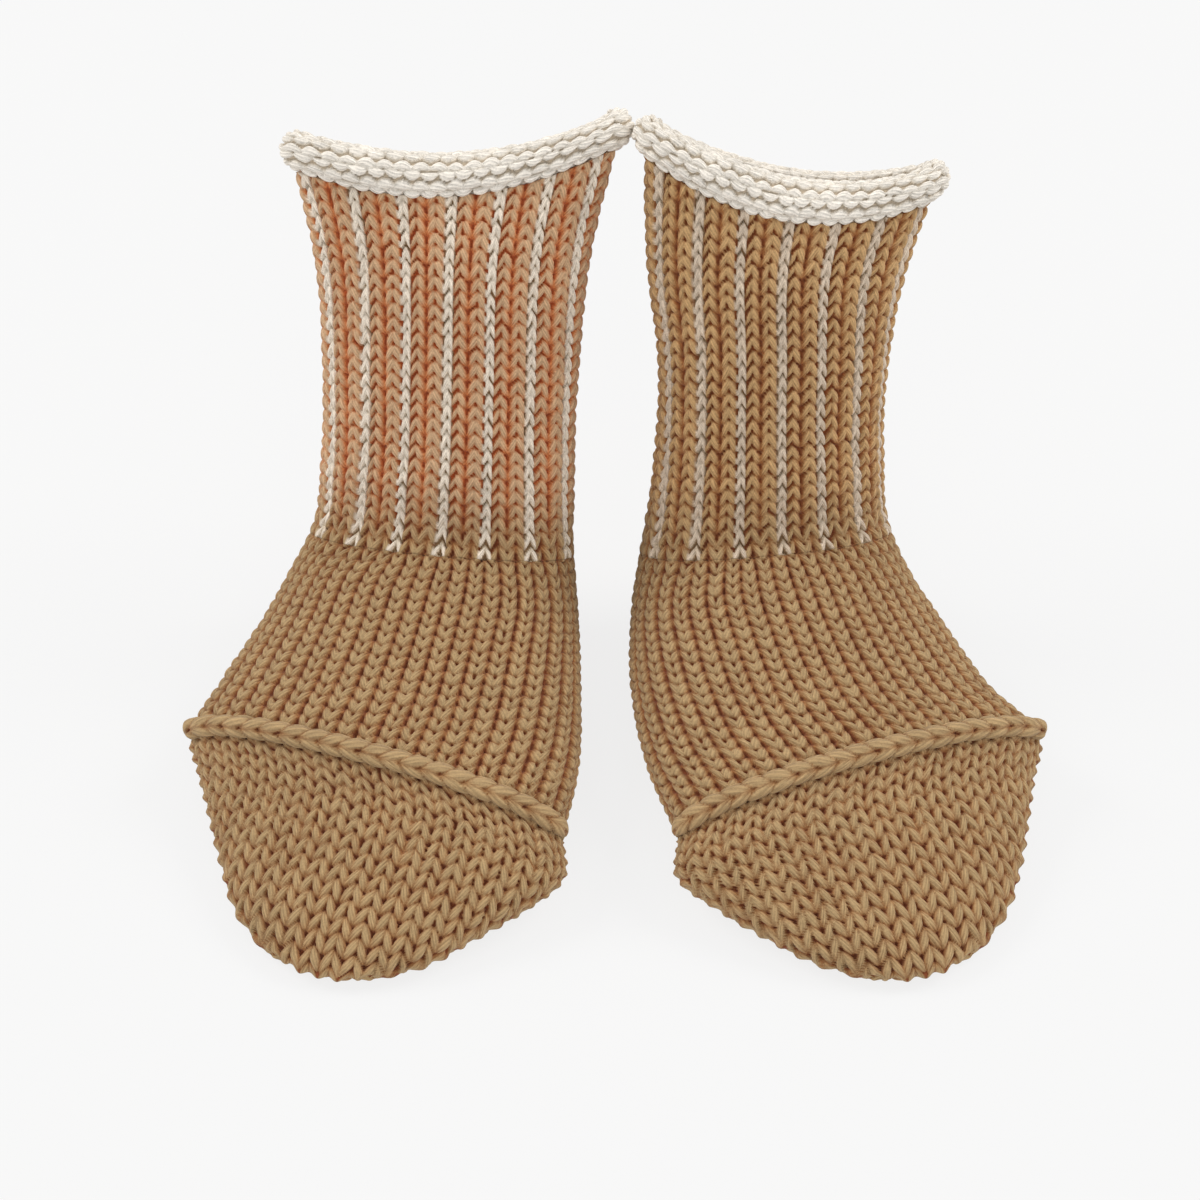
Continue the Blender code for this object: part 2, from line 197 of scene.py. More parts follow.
# Studio: size, tone and glow of the floor, light all round, and soft lights by place, size, watts and colour
FLOOR_HALF = 3
FLOOR_TONE = 0.11
FLOOR_GLOW = 0.801
WORLD_COLOUR = (1.0, 1.0, 1.0, 1.0)
WORLD_STRENGTH = 0.60
LIGHTS = {
    "left_light": ((-0.75, 0.25, 0.75), 0.5, 5.0, (1.0, 0.99, 0.97)),
    "right_light": ((0.75, 0.25, 0.75), 0.5, 5.0, (1.0, 0.99, 0.97)),
    "front_light": ((0.0, -0.9, 0.7), 0.8, 3.0, (1.0, 1.0, 1.0)),
}
LIGHT_AIM = (0.0, 0.0, 0.03)

# At the rim, half way down the leg and at the ankle: how far the stripes stray sideways, in millimetres, and
# by which share of their width they stand closer together in front than behind
DRIFT_AT = (0.0, 0.5, 1.0)
STRIPE_DRIFT = {"left": (-0.35, 0.15, 0.4), "right": (0.3, 0.9, 2.0)}
STRIPE_GATHER = {"left": (0.02, 0.045, 0.11), "right": (0.02, 0.05, 0.11)}

# Widths of the stripes: share of a repeat's girth up to each half wale, from the middle of a cream wale
STRIPE_WALES = (0.0, 0.5, 1.0, 1.5, 2.0, 2.5, 3.0)
STRIPE_SHARES = (0.0, CREAM_SHARE, 0.25, 0.47, 0.675, 1 - CREAM_SHARE, 1.0)

# Fades along a piece: the share of its length where they start, and the share that they take
RIBS_FADE = (0.90, 0.08)
WIDTHS_FADE = (0.94, 0.06)
WARM_FADE = (0.78, 0.22)
FOOT_WIDTHS_FADE = (0.0, 0.06)
STRIPED_AT_ANKLE = 0.5

# Depths in millimetres and widths in wales: the line between two columns of V's, the line between the two
# tan wales of a repeat, the low cream wale and its unevenness in cells of so many stitches
PLAIN_GROOVE = 0.13
TAN_MIDDLE = 1.5
RIB_GROOVE, RIB_GROOVE_WIDTH = 0.22, 0.28
CREAM_LOW, CREAM_LOW_WIDTH = 0.36, 0.55
CREAM_UNEVEN, UNEVEN_CELL = 0.30, 2

# Strands of yarn. out: quarter wale from the middle of a V; loose: how much chance there is; tilt: degrees;
# length and breadth: half sizes in rows and wales; lean: which end is higher; taper: which end is narrower
LEG_STYLE = {"out": 0.25, "loose": 1.0, "tilt": 25.0, "length": 0.80, "breadth": 0.245, "lean": -0.26,
             "taper": -0.18}
FOOT_STYLE = {"out": 0.25, "loose": 0.9, "tilt": 25.0, "length": 0.82, "breadth": 0.25, "lean": 0.20,
              "taper": 0.10}
TOE_STYLE = {"out": 0.25, "loose": 1.0, "tilt": 23.0, "length": 0.80, "breadth": 0.235, "lean": 0.18,
             "taper": 0.08}
CHAIN_STYLE = {"out": 0.25, "loose": 0.9, "tilt": 15.0, "length": 0.84, "breadth": 0.26, "lean": -0.24,
               "taper": -0.08}
CUFF_STYLE = {"bend": 0.9, "length": 0.56, "breadth": 0.54}
CREAM_WIDER, CREAM_STEEPER = 0.32, 6.0

# Chance in a strand's and in a bean's place, turn, breadth and height
STRAND_LUCK = {"aside": 0.10, "down": 0.14, "turn": 0.08, "breadth": 0.06, "height": 0.08}
BEAN_LUCK = {"aside": 0.08, "down": 0.10, "turn": 0.06, "breadth": 0.10, "height": 0.10}

# Height of the yarn over its form, in millimetres: at a strand's edge, how much its ridge adds, and the depth
# of a crease. On the cuff, bumps along the roll add to it: row, width in rows and height.
BASE, RELIEF, CREASE_DEPTH = -0.48, 0.90, 0.16
CHAIN_BASE, CHAIN_RELIEF = -0.45, 0.9
CUFF_BASE, CUFF_RELIEF, CUFF_CREASE_DEPTH = -0.30, 0.62, 0.15
CUFF_EDGE = (1.5, 0.9, 0.30)
CUFF_TUCK = (0.2, 0.6, -0.5)
CUFF_WAVER, WAVER_CELL = 0.12, 6

# Yarn that isn't there, how pointed a strand's ends are, the width of a crease, and how much painted shade
# darkens the colour of creases and grooves beyond what their depth gives
HOLE = -0.28
POINTED = 1.6
CREASE_WIDTH = 0.13
CREASE_PAINTED_SHADE = 0.24
GROOVE_PAINTED_SHADE = 1.2
TOE_GROOVE = 0.7

# Chance for each stitch, by row, column and kind, the same on every run. The last two kinds are the slow
# wandering of the cream wales and of the cuff.
CHANCE_SEED = 4
CHANCE_SHAPE = (101, 97, 6)
CHANCES = np.random.default_rng(CHANCE_SEED).uniform(-1, 1, CHANCE_SHAPE)
CREAM_KIND, CUFF_KIND = 4, 5


# ---------------------------------------------------------------------------------------------- sock form

def unit(vectors):
    """The vectors divided by their lengths."""
    return vectors / np.linalg.norm(vectors, axis=-1, keepdims=True)


def smooth_through(knots, values, at):
    """A smooth curve through the values at the knots: a cubic between each two, whose slopes at the knots
    come from the neighbours on both sides."""
    slopes = np.gradient(values, knots)
    i = np.clip(np.searchsorted(knots, at) - 1, 0, len(knots) - 2)
    step = knots[i + 1] - knots[i]
    t = (at - knots[i]) / step
    start = (1 + 2 * t) * (1 - t) ** 2 * values[i] + t * (1 - t) ** 2 * step * slopes[i]
    end = t**2 * (3 - 2 * t) * values[i + 1] + t**2 * (t - 1) * step * slopes[i + 1]
    return start + end


def signed_power(values, power):
    """The size of each value to a power, with the value's sign."""
    return np.sign(values) * np.abs(values) ** power


class Sock:
    """The form of one sock. Its stations are placed along the length of the front line, from the rim down
    the shin and the instep to the tip of the toes."""

    def __init__(self, name, stations, outwards):
        self.name = name
        self.outwards = outwards
        rows = np.array(list(stations.values()))
        self.values = dict(zip(COLUMNS, rows.T))
        front = rows[:, 1:3]
        steps = np.linalg.norm(np.diff(front, axis=0), axis=1)
        self.knots = np.concatenate([[0.0], np.cumsum(steps)])
        self.at = dict(zip(stations, self.knots))

    def column(self, name, along):
        """One measure of the station table, smooth along the sock."""
        return smooth_through(self.knots, self.values[name], along)

    def surface(self, along, angle, inset=0.0):
        """Points of the wall, `inset` inside its outer face. Each ring is a superellipse: the middle, plus
        the half depth times cos^(2/full), plus the half width times sin^(2/full). Angle 0 is the front and
        90 degrees the right of the image. What would lie below the floor is laid flat on it."""
        along, angle = np.broadcast_arrays(np.asarray(along, float), np.asarray(angle, float))
        x = self.column("x", along)
        front = np.stack([x, self.column("front_y", along), self.column("front_z", along)], -1)
        back = np.stack([x, self.column("back_y", along), self.column("back_z", along)], -1)
        half = self.column("half", along)
        turn = np.radians(self.column("turn", along)) * self.outwards
        lift = -self.outwards * self.column("lift", along) / half
        side = np.stack([np.cos(turn), np.sin(turn), lift], -1)
        depth = (front - back) / 2
        power = 2 / self.column("full", along)
        ahead = signed_power(np.cos(angle), power)
        aside = signed_power(np.sin(angle), power)
        shrink = 1 - inset / np.linalg.norm(depth, axis=-1)
        point = (front + back) / 2 + (ahead * shrink)[..., None] * depth
        point = point + (aside * (half - inset))[..., None] * side
        point[..., 2] += self.column("rise", along) * aside**2
        point[..., 2] = np.maximum(point[..., 2], inset)
        return point

    def angles(self, along, shares):
        """For each row of places, the angles whose points lie at these shares of the ring's girth,
        counted from the front. The shares may differ from row to row."""
        turns = np.linspace(-np.pi, np.pi, MEASURED_POINTS + 1)
        middles = along.mean(axis=1)
        rings = self.surface(middles[:, None], turns[None, :])
        lengths = np.linalg.norm(np.diff(rings, axis=1), axis=-1)
        girth = np.concatenate([np.zeros((len(middles), 1)), np.cumsum(lengths, axis=1)], axis=1)
        signed = shares - np.floor(shares + 0.5)
        wanted = signed * girth[:, -1:] + girth[:, MEASURED_POINTS // 2, None]
        return np.array([np.interp(w, g, turns) for w, g in zip(wanted, girth)])

    def outward(self, along, angle):
        """Unit vectors that point out of the wall, square to its girth and to its length."""
        around = self.surface(along, angle + SMALL) - self.surface(along, angle - SMALL)
        down = self.surface(along + SMALL, angle) - self.surface(along - SMALL, angle)
        return unit(np.cross(down, around))


# ------------------------------------------------------------------------------------------------ the knit

def eased(x):
    """0 below 0, 1 above 1, and a smooth step between."""
    x = np.clip(x, 0, 1)
    return x * x * (3 - 2 * x)


def fade(t, start, length):
    """0 before the start, 1 past the length, and a smooth step between."""
    return eased((t - start) / length)


def hump(x):
    """A soft bump: 1 at 0, falling off like a bell."""
    return np.exp(-x * x)


def bump_at(row, middle, width, height):
    """A soft bump of that height and width about a middle."""
    return height * hump((row - middle) / width)


def chance(row, column, kind):
    """A number from -1 to 1 for each stitch, the same wherever the stitch is asked for."""
    rows, columns, _ = CHANCE_SHAPE
    return CHANCES[np.mod(row, rows).astype(int), np.mod(column, columns).astype(int), kind]


def drift(wale, row, cell, kind):
    """Slow wandering of the knit: chances at the corners of cells of so many stitches, blended smoothly.
    It closes on itself round the sock."""
    count = int(round(WALES / cell))
    x, y = wale / WALES * count, row / cell
    i, j = np.floor(x), np.floor(y)
    s, t = eased(x - i), eased(y - j)
    near, far = np.mod(i, count), np.mod(i + 1, count)
    low = chance(j, near, kind) * (1 - s) + chance(j, far, kind) * s
    high = chance(j + 1, near, kind) * (1 - s) + chance(j + 1, far, kind) * s
    return low * (1 - t) + high * t


class Strands:
    """Which strand of yarn lies on top at each point of a piece, and where on that strand the point is.
    height: 0 at a strand's edge to about 1 on its ridge, and HOLE where there is none. below: height of the
    strand under it. along and across: place on the strand, -1 to 1. luck: one number for each strand.
    column: the half wale it belongs to."""

    def __init__(self, shape):
        self.height = np.full(shape, HOLE)
        self.below = np.full(shape, HOLE)
        self.along = np.zeros(shape)
        self.across = np.zeros(shape)
        self.luck = np.zeros(shape)
        self.column = np.zeros(shape)

    def lay(self, x, y, length, breadth, tilt, lean, taper, lift, luck, column):
        """Lays one strand over what is there: a grain of that half length and half breadth, turned by the
        tilt, round on top, raised towards one end by the lean and narrowed towards the other by the taper.
        x and y are millimetres from its middle."""
        s = (y * np.cos(tilt) - x * np.sin(tilt)) / length
        end = np.sqrt(np.clip(1 - np.abs(s) ** POINTED, 0, 1))
        w = (x * np.cos(tilt) + y * np.sin(tilt)) / (breadth * (1 + taper * np.clip(s, -1, 1)))
        inside = end**2 - w**2
        height = np.sqrt(np.maximum(inside, 0)) + lean * s + lift
        inside = inside > 0
        over = inside & (height > self.height)
        self.below = np.where(over, self.height, np.where(inside, np.maximum(self.below, height), self.below))
        shown = {"height": height, "along": s, "across": w, "luck": luck, "column": column}
        for name, value in shown.items():
            setattr(self, name, np.where(over, value, getattr(self, name)))

    def crease(self):
        """1 where two strands meet, falling to 0 away from that line."""
        return hump((self.height - self.below) / CREASE_WIDTH)

    def depth(self):
        """0 in the holes and creases, 1 on the ridges, lowered further along creases: what the colour
        follows, so that holes and creases get painted shade.
        """
        return (self.height - HOLE) / (1 - HOLE) - CREASE_PAINTED_SHADE * self.crease()

    def raised(self, base, relief, crease_depth):
        """Height of the yarn over the form, in millimetres."""
        return base + relief * self.height - crease_depth * self.crease()

    def place(self):
        """Place along and across the strand, and its luck."""
        return np.stack([self.along, self.across, self.luck], -1)


def plain_knit(wale, row, wale_size, row_size, style):
    """Plain knit. Each whole wale is the foot of a column of V's, whose two strands come down to it from
    both sides. A strand's middle is a quarter wale out, half a row down. Strands of the rows above and below
    overlap it, and the higher one shows."""
    column = np.round(wale)
    side = np.where(wale < column, -1.0, 1.0)
    out = np.abs(wale - column)
    luck = {key: style["loose"] * value for key, value in STRAND_LUCK.items()}
    strands = Strands(wale.shape)
    for step in (-1, 0, 1):
        k = np.floor(row) + step
        lobe = column * 2 + (side > 0)
        a, b, c, d = (chance(k, np.mod(lobe, 2 * WALES), kind) for kind in range(4))
        x = (out - style["out"]) * wale_size + luck["aside"] * a
        y = (row - k - 0.5) * row_size + luck["down"] * b
        tilt = np.radians(style["tilt"]) + luck["turn"] * c
        breadth = style["breadth"] * wale_size * (1 + STRAND_LUCK["breadth"] * b)
        strands.lay(x, y, style["length"] * row_size, breadth, tilt, style["lean"], style["taper"],
                    luck["height"] * d, a, lobe)
    return strands


def purl_knit(wale, row, wale_size, row_size, style):
    """The purl side: rows of beans, each row half a wale on from the last. Their ends bend down in one row
    and up in the next, as the loops of two rows hook into each other."""
    strands = Strands(wale.shape)
    for step in (-1, 0, 1):
        k = np.floor(row) + step
        shifted = wale - 0.5 * np.mod(k, 2)
        column = np.round(shifted)
        a, b, c, d = (chance(k, np.mod(column, WALES), kind) for kind in range(4))
        x = (shifted - column) * wale_size
        bend = np.where(np.mod(k, 2) > 0, 1.0, -1.0)
        arc = style["bend"] * bend * (x / wale_size) ** 2 * row_size
        y = (row - k - 0.5) * row_size - arc + BEAN_LUCK["down"] * a
        breadth = style["breadth"] * row_size * (1 + BEAN_LUCK["breadth"] * c)
        strands.lay(y, x + BEAN_LUCK["aside"] * b, style["length"] * wale_size, breadth,
                    BEAN_LUCK["turn"] * d, 0.0, 0.0, BEAN_LUCK["height"] * c, a, column)
    return strands


# ------------------------------------------------------------------------------------------------- meshes

def ring_faces(rings, count, closed_path):
    """Triangles between neighbouring rings of `count` points, and between the last and first if closed."""
    rows = np.arange(rings if closed_path else rings - 1)[:, None]
    i = np.arange(count)[None, :]
    j = (i + 1) % count
    here, following = rows * count, (rows + 1) % rings * count
    a, b, c, d = here + i, following + i, following + j, here + j
    return np.concatenate([np.stack([a, b, c], -1).reshape(-1, 3), np.stack([a, c, d], -1).reshape(-1, 3)])


def add_piece(name, points, faces, strand, tone, place, finish, node):
    """A smooth piece in metres from points in millimetres. strand: place along and across the yarn and its
    luck. tone: depth in the knit, which sets the painted shade, and shares of cream and of the leg's warmer
    colours. place: wale and row."""
    mesh = bpy.data.meshes.new(name)
    mesh.from_pydata(((points.reshape(-1, 3) - PAIR_MIDDLE) * MM), [], faces)
    for label, values in (("strand", strand), ("tone", tone)):
        layer = mesh.attributes.new(label, "FLOAT_VECTOR", "POINT")
        layer.data.foreach_set("vector", values.reshape(-1).astype(np.float32))
    corners = np.empty(len(mesh.loops), np.int32)
    mesh.loops.foreach_get("vertex_index", corners)
    chart = mesh.uv_layers.new(name="knit")
    chart.data.foreach_set("uv", (place.reshape(-1, 2)[corners] / WALES).reshape(-1).astype(np.float32))
    mesh.update()
    mesh.shade_smooth()
    mesh.materials.append(finish)
    piece = bpy.data.objects.new(name, mesh)
    bpy.context.scene.collection.objects.link(piece)
    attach(piece, "root")
    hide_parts(node)
    return piece


def spread(first, last, rows):
    """Rows of places, evenly from the first row to the last."""
    t = np.linspace(0, 1, rows)[:, None]
    return first * (1 - t) + last * t


def lengths_down(points):
    """Length along each column of a grid of points, from its first row."""
    steps = np.linalg.norm(np.diff(points, axis=0), axis=-1)
    return np.concatenate([np.zeros((1, points.shape[1])), np.cumsum(steps, axis=0)])


def girths(points):
    """Length round each row of a closed grid of points."""
    return np.linalg.norm(points - np.roll(points, 1, axis=1), axis=-1).sum(axis=1)


def floored(points):
    """The points, with what lies below the floor brought up to it."""
    points[..., 2] = np.maximum(points[..., 2], 0.0)
    return points


# ------------------------------------------------------------------------------------------------- pieces

def stripe_shares(wale, striped):
    """Share of the girth at each wale, counted from the middle of a cream wale. In the stripes the cream
    wales are narrow; where `striped` falls to 0 every wale is as wide as the others."""
    repeat = np.floor(wale / 3)
    narrow = (repeat + np.interp(wale - 3 * repeat, STRIPE_WALES, STRIPE_SHARES)) / STRIPES
    return striped * narrow + (1 - striped) * wale / WALES


def gathered(shares, drift, gather):
    """The shares moved sideways, and drawn closer together round the front: the shift for that is a sine."""
    return shares + drift / LEG_GIRTH - gather * np.sin(2 * np.pi * shares) / (2 * np.pi)


def from_cream(wale):
    """Wales from the middle of the nearest cream wale."""
    return np.abs(wale - 3 * np.round(wale / 3))


def stripe_slopes(wale):
    """Share of the girth that a wale would take at each point of the stripes."""
    widths = np.diff(STRIPE_SHARES) / np.diff(STRIPE_WALES) / STRIPES
    within = wale - 3 * np.floor(wale / 3)
    return widths[np.clip(np.searchsorted(STRIPE_WALES, within, "right") - 1, 0, len(widths) - 1)]


def plain_groove(wale):
    """How far the lines between two columns of V's lie below the V's."""
    return PLAIN_GROOVE * (1 + np.cos(2 * np.pi * wale))


def add_wall(sock, piece, along, angle, strands, raised, groove, cream, warm, wale, row, finish):
    """A wall: its outer face raised by the knit, then its smooth inner face back to the first row. Its
    grooves
    get painted shade: their colour is warmer and darker."""
    outer = floored(sock.surface(along, angle) + raised[..., None] * sock.outward(along, angle))
    back = np.linspace(len(along) - 1, 0, INNER_ROWS).astype(int)
    inner = sock.surface(along[back], angle[back], WALL)
    warm = warm + 0 * cream
    # Painted shade: grooves darken the colour more than their depth alone would.
    tone = np.stack([strands.depth() - GROOVE_PAINTED_SHADE * groove, cream, warm], -1)
    inner_tone = np.stack([np.ones_like(cream[back]), cream[back], warm[back]], -1)
    place = np.stack(np.broadcast_arrays(wale, row), -1)
    name = sock.name + "_" + piece
    return add_piece(name + "_knit", np.concatenate([outer, inner]),
                     ring_faces(len(along) + INNER_ROWS, along.shape[1], True),
                     np.concatenate([strands.place(), 0 * inner]), np.concatenate([tone, inner_tone]),
                     np.concatenate([place, place[back]]), finish, name)


def frontness(angle):
    """1 at the front of a ring, a quarter at its sides and 0 at its back."""
    return ((1 + np.cos(angle)) / 2) ** 2


def make_leg(sock, finish):
    """The leg: striped plain knit, whose cream wales and the groove between the two tan wales lie lower."""
    columns = WALES * FINE
    wale = np.arange(columns) / FINE
    t = np.linspace(0, 1, LEG_ROWS)[:, None]
    top = FRONT_DIP * frontness(sock.angles(np.zeros((1, columns)), wale / WALES)[0])
    along = spread(top, np.full(columns, sock.at["ankle"] - EDGE_GAP / 2), LEG_ROWS)
    near_ankle = fade(t, *RIBS_FADE)
    striped = 1 - STRIPED_AT_ANKLE * fade(t, *WIDTHS_FADE)
    shares = stripe_shares(wale, striped)
    gather = np.interp(t, DRIFT_AT, STRIPE_GATHER[sock.name])
    shares = gathered(shares, np.interp(t, DRIFT_AT, STRIPE_DRIFT[sock.name]), gather)
    angle = sock.angles(along, shares)
    base = sock.surface(along, angle)
    length = lengths_down(base)
    row = (length - length[-1]) / LEG_ROW + LEG_WHOLE_ROWS
    wale_size = girths(base)[:, None] * (striped * stripe_slopes(wale) + (1 - striped) / WALES)
    wale_size = wale_size * (1 - gather * np.cos(2 * np.pi * wale / WALES))
    style = {key: LEG_STYLE[key] * (1 - near_ankle) + FOOT_STYLE[key] * near_ankle for key in LEG_STYLE}
    narrow = (from_cream(wale) < 0.5) * (1 - near_ankle)
    style["breadth"] = style["breadth"] * (1 + CREAM_WIDER * narrow)
    style["tilt"] = style["tilt"] - CREAM_STEEPER * narrow
    strands = plain_knit(wale + 0.5 + 0 * row, row, wale_size, LEG_ROW, style)
    half = np.floor(strands.column / 2) - (1 - np.mod(strands.column, 2))
    wales = np.where(strands.height > HOLE, half, np.round(wale))
    cream = (np.mod(wales, 3) == 0).astype(float)
    rib_groove = bump_at(from_cream(wale), TAN_MIDDLE, RIB_GROOVE_WIDTH, RIB_GROOVE)
    groove = rib_groove * (1 - near_ankle) + plain_groove(wale) * near_ankle
    low = CREAM_LOW * hump(from_cream(wale) / CREAM_LOW_WIDTH) * (1 - near_ankle)
    uneven = CREAM_UNEVEN * cream * drift(wale + 0 * row, row, UNEVEN_CELL, CREAM_KIND)
    raised = strands.raised(BASE, RELIEF, CREASE_DEPTH) - groove - low + uneven
    warm = 1 - fade(t, *WARM_FADE)
    return add_wall(sock, "leg", along, angle, strands, raised, groove, cream, warm, wale, row, finish)


def make_foot(sock, finish):
    """The foot with its heel: plain knit, in columns of V's that fan out towards the toes."""
    columns = WALES * FINE
    wale = np.arange(columns) / FINE
    t = np.linspace(0, 1, FOOT_ROWS)[:, None]
    striped = STRIPED_AT_ANKLE * (1 - fade(t, *FOOT_WIDTHS_FADE))
    shares = stripe_shares(wale, striped)
    shares = gathered(shares, STRIPE_DRIFT[sock.name][-1], STRIPE_GATHER[sock.name][-1] * (1 - eased(t)))
    last = seam_edge(sock, shares[-1], -1, FOOT_CHANNEL)
    along = spread(np.full(columns, sock.at["ankle"] + EDGE_GAP / 2), last, FOOT_ROWS)
    angle = sock.angles(along, shares)
    base = sock.surface(along, angle)
    row = LEG_WHOLE_ROWS + lengths_down(base) / FOOT_ROW
    wale_size = girths(base)[:, None] * (striped * stripe_slopes(wale) + (1 - striped) / WALES)
    strands = plain_knit(wale + 0.5 + 0 * row, row, wale_size, FOOT_ROW, FOOT_STYLE)
    groove = plain_groove(wale)
    raised = strands.raised(BASE, RELIEF, CREASE_DEPTH) - groove
    return add_wall(sock, "foot", along, angle, strands, raised, groove, 0 * row, 0, wale, row, finish)


def seam_edge(sock, shares, way, channel):
    """Places of the edge at the toe seam: the chain's channel across the top, and a plain join below."""
    station = np.full((1, len(shares)), sock.at["seam"])
    angle = sock.angles(station, shares)
    beyond = np.radians(CHAIN_REACH + CHANNEL_FADE) - np.abs(angle)
    wide = np.clip(beyond / np.radians(CHANNEL_FADE), 0, 1)
    gap = EDGE_GAP / 2 + (channel - EDGE_GAP / 2) * wide
    step = sock.surface(station + SMALL, angle) - sock.surface(station - SMALL, angle)
    return (station + way * gap * 2 * SMALL / np.linalg.norm(step, axis=-1))[0]


def toe_cap(last, outward, ahead, bend, signed):
    """Rings beyond the last ring of the toe pocket, and their outward vectors. The height of the ring falls
    as the cosine of the bend and its width a little, and it moves ahead by the sine, least at its sides."""
    middle = last.mean(axis=0)
    narrow = 1 - CAP_ROUND * (1 - np.cos(bend))
    shrunk = (last - middle) * np.concatenate([narrow, narrow, np.cos(bend)], axis=-1)
    belly = (1 - np.sin(2 * np.pi * signed) ** CAP_POWER)[:, None]
    points = middle + shrunk + CAP_LENGTH * np.sin(bend) * belly * ahead
    return points, unit(np.cos(bend) * outward + np.sin(bend) * ahead)


def toe_faces(columns):
    """Triangles of the toe pocket: its rings, the line that closes its tip, and the fan that closes its inner
    face round the last point."""
    rings = TOE_ROWS + CAP_ROWS + INNER_ROWS
    tip = (TOE_ROWS + CAP_ROWS - 1) * columns
    behind = tip + columns
    faces = ring_faces(rings, columns, True)
    faces = faces[faces.min(axis=1) // columns != tip // columns]
    i = np.arange(columns)
    fan = np.stack([behind + i, behind + (i + 1) % columns, rings * columns + 0 * i], -1)
    return np.concatenate([faces, tip + closing_faces(columns), fan])


def make_toe(sock, finish):
    """The toe pocket: columns of V's along the foot, above and below, that end at the short-row edges along
    both sides. Those edges stand up in knobs, one for each row. The tip is closed by a cap: the last ring,
    whose upper and lower half come together along a short line ahead of it."""
    columns = WALES * FINE
    shares = np.arange(columns) / columns
    signed = shares - np.floor(shares + 0.5)
    first = seam_edge(sock, shares, 1, TOE_CHANNEL)
    along = spread(first, np.full(columns, sock.at["end"]), TOE_ROWS)
    angle = sock.angles(along, shares)
    base = sock.surface(along, angle)
    outward = sock.outward(along, angle)
    ahead = unit(base[-1].mean(axis=0) - base[-CAP_FROM_ROW].mean(axis=0))
    bend = np.radians(np.linspace(CAP_FIRST, CAP_LAST, CAP_ROWS))
    cap, cap_outward = toe_cap(base[-1], outward[-1], ahead, bend[:, None, None], signed)
    form = np.concatenate([base, cap])
    normal = np.concatenate([outward, cap_outward])
    beyond = along - sock.at["seam"]
    beyond = np.concatenate([beyond, beyond[-1] + lengths_down(np.concatenate([base[-1:], cap]))[1:]])
    row_size = TOE_ROW + TOE_ROW_GROWTH * beyond
    row = np.log(row_size / TOE_ROW) / TOE_ROW_GROWTH
    girth = girths(base)
    girth = np.concatenate([girth, np.full(CAP_ROWS, girth[-1])])[:, None]
    from_middle = np.where(np.abs(signed) < 0.25, signed, signed - 0.5 * np.sign(signed))
    wale = from_middle * girth / TOE_WALE
    strands = plain_knit(wale, row, TOE_WALE + 0 * row, row_size, TOE_STYLE)
    at_side = hump((0.25 - np.abs(from_middle)) * girth / KNOB_REACH)
    at_tip = np.concatenate([np.zeros(TOE_ROWS), np.sin(bend) ** CAP_POWER])[:, None]
    groove = TOE_GROOVE * plain_groove(wale) * (1 - at_side) * (1 - at_tip)
    cloth = (strands.raised(BASE, RELIEF, CREASE_DEPTH) - groove) * (1 - at_side) * (1 - at_tip)
    side_knobs = at_side * (KNOB_BASE + KNOB_HEIGHT * np.cos(2 * np.pi * row))
    tip_knobs = at_tip * (1 - at_side) * KNOB_HEIGHT * np.cos(2 * np.pi * wale)
    outer = floored(form + (cloth + side_knobs + tip_knobs)[..., None] * normal)
    back = np.linspace(TOE_ROWS - 1, 0, INNER_ROWS).astype(int)
    fold = along[back] - TOE_FOLD * (1 - np.arange(INNER_ROWS) / (INNER_ROWS - 1))[:, None]
    inner = sock.surface(fold, sock.angles(fold, shares), WALL)
    points = np.concatenate([np.concatenate([outer, inner]).reshape(-1, 3), inner[:1].mean(axis=1)])
    # Painted shade: grooves darken the colour more than their depth alone would.
    depth = strands.depth() - GROOVE_PAINTED_SHADE * groove
    tone = np.stack([depth, 0 * depth, 0 * depth], -1)
    place = np.stack([wale, row], -1)
    inner_tone = np.broadcast_to((1.0, 0.0, 0.0), inner.shape)

    def all_over(outside, inside):
        shown = np.concatenate([outside, inside])
        return np.concatenate([shown.reshape(-1, shown.shape[-1]), inside[0, :1]])

    name = sock.name + "_toe"
    return add_piece(name + "_knit", points, toe_faces(columns), all_over(strands.place(), 0 * inner),
                     all_over(tone, inner_tone), all_over(place, place[back]), finish, name)


def closing_faces(count):
    """Triangles that close the last ring of `count` points by joining each point of its upper half to the
    one below it."""
    side = count // 4
    i = np.arange(-side, side)
    top, bottom = i % count, (count // 2 - i) % count
    next_top, next_bottom = (i + 1) % count, (count // 2 - i - 1) % count
    return np.concatenate([np.stack([next_top, top, bottom], -1)[1:],
                           np.stack([next_top, bottom, next_bottom], -1)[:-1]])


